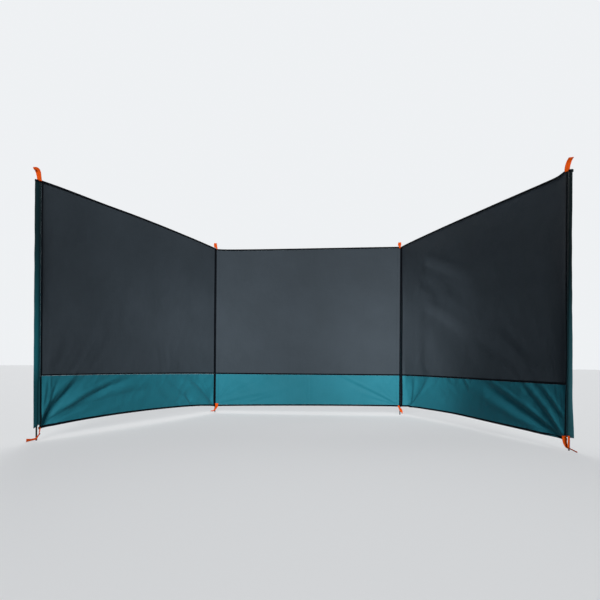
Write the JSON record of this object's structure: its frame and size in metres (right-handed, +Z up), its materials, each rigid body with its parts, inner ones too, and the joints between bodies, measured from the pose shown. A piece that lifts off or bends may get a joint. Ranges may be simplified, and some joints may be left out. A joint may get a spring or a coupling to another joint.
{
  "type": "beach windbreak",
  "caption": "Folding cloth windbreak: dark cloth bays with a coloured lower band on thin poles set in the ground, the outer bays turned in, with webbing tabs and foot straps.",
  "frame": {"origin": "foot of the left inner pole, where it enters the ground", "axes": "+X along the middle bay to the right inner pole, +Z up, -Y towards the sheltered side that the outer bays turn to"},
  "size_m": [2.7056, 1.4567, 1.4059],
  "materials": {
    "panel_cloth": "plain-woven coated polyester, charcoal",
    "band_cloth": "plain-woven coated polyester, deep teal",
    "sleeve_cloth": "plain-woven coated polyester, deep teal",
    "binding_tape": "black woven tape",
    "orange_webbing": "flat woven webbing, orange",
    "pole_steel": "powder-coated dark grey",
    "spike_steel": "black enamel, worn towards the ground",
    "plug_plastic": "moulded black plastic"
  },
  "bodies": {
    "middle_bay": {"middle_panel": "panel_cloth", "middle_band": "band_cloth", "middle_top_binding": "binding_tape", "middle_hem_binding": "binding_tape", "middle_seam_tape": "binding_tape", "left_fold_piping": "binding_tape", "left_fold_sleeve": "sleeve_cloth", "left_inner_pole": "pole_steel", "left_inner_spike": "spike_steel", "left_inner_plug": "plug_plastic", "left_inner_top_tab": "orange_webbing", "left_inner_foot_strap": "orange_webbing", "right_fold_piping": "binding_tape", "right_fold_sleeve": "sleeve_cloth", "right_inner_pole": "pole_steel", "right_inner_spike": "spike_steel", "right_inner_plug": "plug_plastic", "right_inner_top_tab": "orange_webbing", "right_inner_foot_strap": "orange_webbing"},
    "left_wing": {"left_panel": "panel_cloth", "left_band": "band_cloth", "left_top_binding": "binding_tape", "left_hem_binding": "binding_tape", "left_seam_tape": "binding_tape", "left_fold_tape": "binding_tape", "left_end_tape": "binding_tape", "left_end_sleeve": "sleeve_cloth", "left_outer_pole": "pole_steel", "left_outer_spike": "spike_steel", "left_outer_plug": "plug_plastic", "left_outer_top_tab": "orange_webbing", "left_outer_foot_strap": "orange_webbing"},
    "right_wing": {"right_panel": "panel_cloth", "right_band": "band_cloth", "right_top_binding": "binding_tape", "right_hem_binding": "binding_tape", "right_seam_tape": "binding_tape", "right_fold_tape": "binding_tape", "right_end_tape": "binding_tape", "right_end_sleeve": "sleeve_cloth", "right_outer_pole": "pole_steel", "right_outer_spike": "spike_steel", "right_outer_plug": "plug_plastic", "right_outer_top_tab": "orange_webbing", "right_outer_foot_strap": "orange_webbing"}
  },
  "joints": [
    {"name": "left_fold", "type": "hinge", "parent": "middle_bay", "child": "left_wing", "pos_m": [0, -0.012, 0], "axis": [0, 0, 1], "range_deg": [-67.5, 42.5]},
    {"name": "right_fold", "type": "hinge", "parent": "middle_bay", "child": "right_wing", "pos_m": [1.5, -0.012, 0], "axis": [0, 0, -1], "range_deg": [-67.5, 42.5]}
  ]
}
